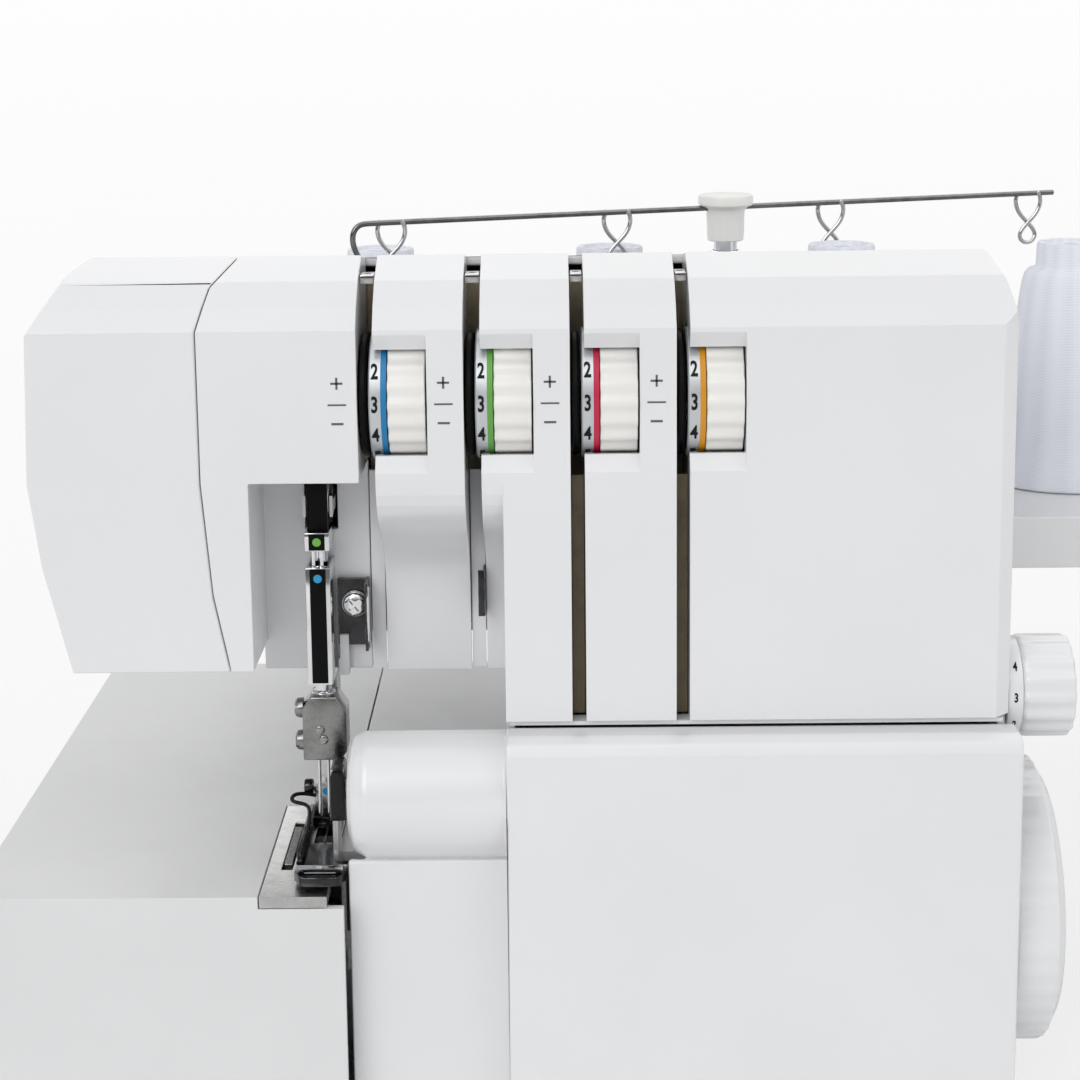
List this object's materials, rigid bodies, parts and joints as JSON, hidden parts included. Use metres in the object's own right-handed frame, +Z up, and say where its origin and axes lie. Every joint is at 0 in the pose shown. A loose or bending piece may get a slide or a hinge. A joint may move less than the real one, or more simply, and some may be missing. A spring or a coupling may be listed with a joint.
{
  "type": "serger overlock machine",
  "caption": "Household overlock sewing machine with tension dials, needle bar, hinged looper cover, handwheel and a telescopic thread stand with cones.",
  "frame": {"origin": "on the desk under the middle of the whole machine, cloth plate and thread stand included", "axes": "+X to the operator's right, +Y away from the operator, +Z up"},
  "size_m": [0.39, 0.248, 0.2808],
  "materials": {
    "white_housing": "glossy moulded plastic, cool white",
    "bed_plastic": "smooth light grey plastic",
    "black_plastic": "satin black plastic",
    "chrome": "polished chrome plate",
    "steel": "ground steel",
    "dark_steel": "blackened steel",
    "casting": "rough die casting",
    "rubber": "matt black rubber",
    "thread": "wound polyester thread, bluish white",
    "dial_blue": "white grip, silver scale and a blue band",
    "dial_green": "white grip, silver scale and a green band",
    "dial_crimson": "white grip, silver scale and a crimson band",
    "dial_golden": "white grip, silver scale and a golden band"
  },
  "bodies": {
    "body": {"base_pan": "white_housing", "column_housing": "white_housing", "rear_cover": "white_housing", "face_cover": "white_housing", "head_front": "white_housing", "tension_strip_1": "white_housing", "tension_strip_2": "white_housing", "tension_strip_3": "white_housing", "right_panel": "white_housing", "thread_tray": "white_housing", "cloth_plate": "bed_plastic", "bed_cover": "bed_plastic", "tension_spindle": "black_plastic", "needle_guide": "black_plastic", "inlet_panel": "black_plastic", "motor": "black_plastic", "pole_outer": "chrome", "needle_plate": "steel", "lower_knife": "steel", "tension_plate": "dark_steel", "thread_bracket": "dark_steel", "chassis": "casting", "foot_front_left": "rubber", "foot_front_right": "rubber", "foot_rear_left": "rubber", "foot_rear_right": "rubber", "drive_belt": "rubber", "thread_cone_1": "thread", "thread_cone_2": "thread", "thread_cone_3": "thread", "thread_cone_4": "thread"},
    "drive_shaft": {"main_shaft": "steel", "handwheel": "white_housing"},
    "motor_rotor": {"motor_pulley": "steel"},
    "dial_1": {"tension_dial_1": "dial_blue"},
    "dial_2": {"tension_dial_2": "dial_green"},
    "dial_3": {"tension_dial_3": "dial_crimson"},
    "dial_4": {"tension_dial_4": "dial_golden"},
    "stitch_dial": {"stitch_length_dial": "white_housing"},
    "feed_dial": {"feed_ratio_dial": "white_housing"},
    "front_cover": {"looper_cover": "white_housing"},
    "needle_carrier": {"needle_bar": "chrome", "needle_clamp": "steel", "needle_left": "chrome", "needle_right": "chrome"},
    "presser": {"presser_bar": "chrome", "presser_foot": "dark_steel"},
    "lifter": {"presser_lifter": "black_plastic"},
    "pressure_knob": {"pressure_screw": "bed_plastic"},
    "moving_knife": {"upper_knife": "steel"},
    "looper_up": {"upper_looper": "chrome"},
    "looper_low": {"lower_looper": "chrome"},
    "feed_carrier": {"feed_dog": "steel"},
    "rocker": {"rocker_shaft": "steel", "take_up_lever": "steel"},
    "switch_rocker": {"power_switch": "black_plastic"},
    "pole_stage_2": {"pole_middle": "chrome"},
    "pole_stage_3": {"pole_inner": "chrome"},
    "guide_head": {"guide_cap": "white_housing", "guide_bar": "chrome"}
  },
  "joints": [
    {"name": "handwheel_turn", "type": "hinge", "parent": "body", "child": "drive_shaft", "pos_m": [0.115, -0.074, 0.078], "axis": [1, 0, 0], "continuous": true},
    {"name": "motor_turn", "type": "hinge", "parent": "body", "child": "motor_rotor", "pos_m": [0.075, 0.038, 0.052], "axis": [1, 0, 0], "continuous": true},
    {"name": "dial_1_turn", "type": "hinge", "parent": "body", "child": "dial_1", "pos_m": [-0.0693, -0.0942, 0.2404], "axis": [-1, 0, 0], "range_deg": [-87, 174]},
    {"name": "dial_2_turn", "type": "hinge", "parent": "body", "child": "dial_2", "pos_m": [-0.0395, -0.0942, 0.2404], "axis": [-1, 0, 0], "range_deg": [-87, 174]},
    {"name": "dial_3_turn", "type": "hinge", "parent": "body", "child": "dial_3", "pos_m": [-0.0097, -0.0942, 0.2404], "axis": [-1, 0, 0], "range_deg": [-87, 174]},
    {"name": "dial_4_turn", "type": "hinge", "parent": "body", "child": "dial_4", "pos_m": [0.0201, -0.0942, 0.2404], "axis": [-1, 0, 0], "range_deg": [-87, 174]},
    {"name": "stitch_dial_turn", "type": "hinge", "parent": "body", "child": "stitch_dial", "pos_m": [0.115, -0.092, 0.151], "axis": [1, 0, 0], "range_deg": [-90, 90]},
    {"name": "feed_dial_turn", "type": "hinge", "parent": "body", "child": "feed_dial", "pos_m": [0.111, -0.034, 0.151], "axis": [1, 0, 0], "range_deg": [-60, 120]},
    {"name": "front_cover_swing", "type": "hinge", "parent": "body", "child": "front_cover", "pos_m": [0.01, -0.115, 0.018], "axis": [1, 0, 0], "range_deg": [0, 80]},
    {"name": "needle_stroke", "type": "slide", "parent": "body", "child": "needle_carrier", "axis": [0, 0, 1], "range_m": [-0.0175, 0.003]},
    {"name": "lifter_swing", "type": "hinge", "parent": "body", "child": "lifter", "pos_m": [-0.1395, 0.022, 0.205], "axis": [0, 1, 0], "range_deg": [0, 65]},
    {"name": "presser_lift", "type": "slide", "parent": "body", "child": "presser", "axis": [0, 0, 1], "range_m": [0, 0.005]},
    {"name": "pressure_turn", "type": "hinge", "parent": "body", "child": "pressure_knob", "pos_m": [-0.095, -0.066, 0.26], "axis": [0, 0, 1], "range_deg": [0, 1080]},
    {"name": "knife_stroke", "type": "slide", "parent": "body", "child": "moving_knife", "axis": [0, 0, 1], "range_m": [-0.006, 0]},
    {"name": "upper_looper_swing", "type": "hinge", "parent": "body", "child": "looper_up", "pos_m": [-0.07, -0.0955, 0.038], "axis": [0, 1, 0], "range_deg": [-5, 5]},
    {"name": "lower_looper_swing", "type": "hinge", "parent": "body", "child": "looper_low", "pos_m": [-0.07, -0.0815, 0.038], "axis": [0, 1, 0], "range_deg": [-8, 8]},
    {"name": "feed_stroke", "type": "slide", "parent": "body", "child": "feed_carrier", "axis": [0, 1, 0], "range_m": [-0.0025, 0.0025]},
    {"name": "take_up_swing", "type": "hinge", "parent": "body", "child": "rocker", "pos_m": [-0.035, -0.04, 0.206], "axis": [1, 0, 0], "range_deg": [-9, 3]},
    {"name": "switch_rock", "type": "hinge", "parent": "body", "child": "switch_rocker", "pos_m": [0.1103, 0.055, 0.052], "axis": [0, 0, 1], "range_deg": [0, 16]},
    {"name": "pole_stage_2_rise", "type": "slide", "parent": "body", "child": "pole_stage_2", "axis": [0, 0, 1], "range_m": [0, 0.07]},
    {"name": "pole_stage_3_rise", "type": "slide", "parent": "pole_stage_2", "child": "pole_stage_3", "axis": [0, 0, 1], "range_m": [0, 0.07]},
    {"name": "guide_swivel", "type": "hinge", "parent": "pole_stage_3", "child": "guide_head", "pos_m": [0.037, 0.078, 0.276], "axis": [0, 0, 1], "range_deg": [0, 6]}
  ],
  "couplings": [
    {"joint": "motor_turn", "follows": "handwheel_turn", "ratio": 3},
    {"joint": "lifter_swing", "follows": "presser_lift", "rad_per_m": 226}
  ]
}
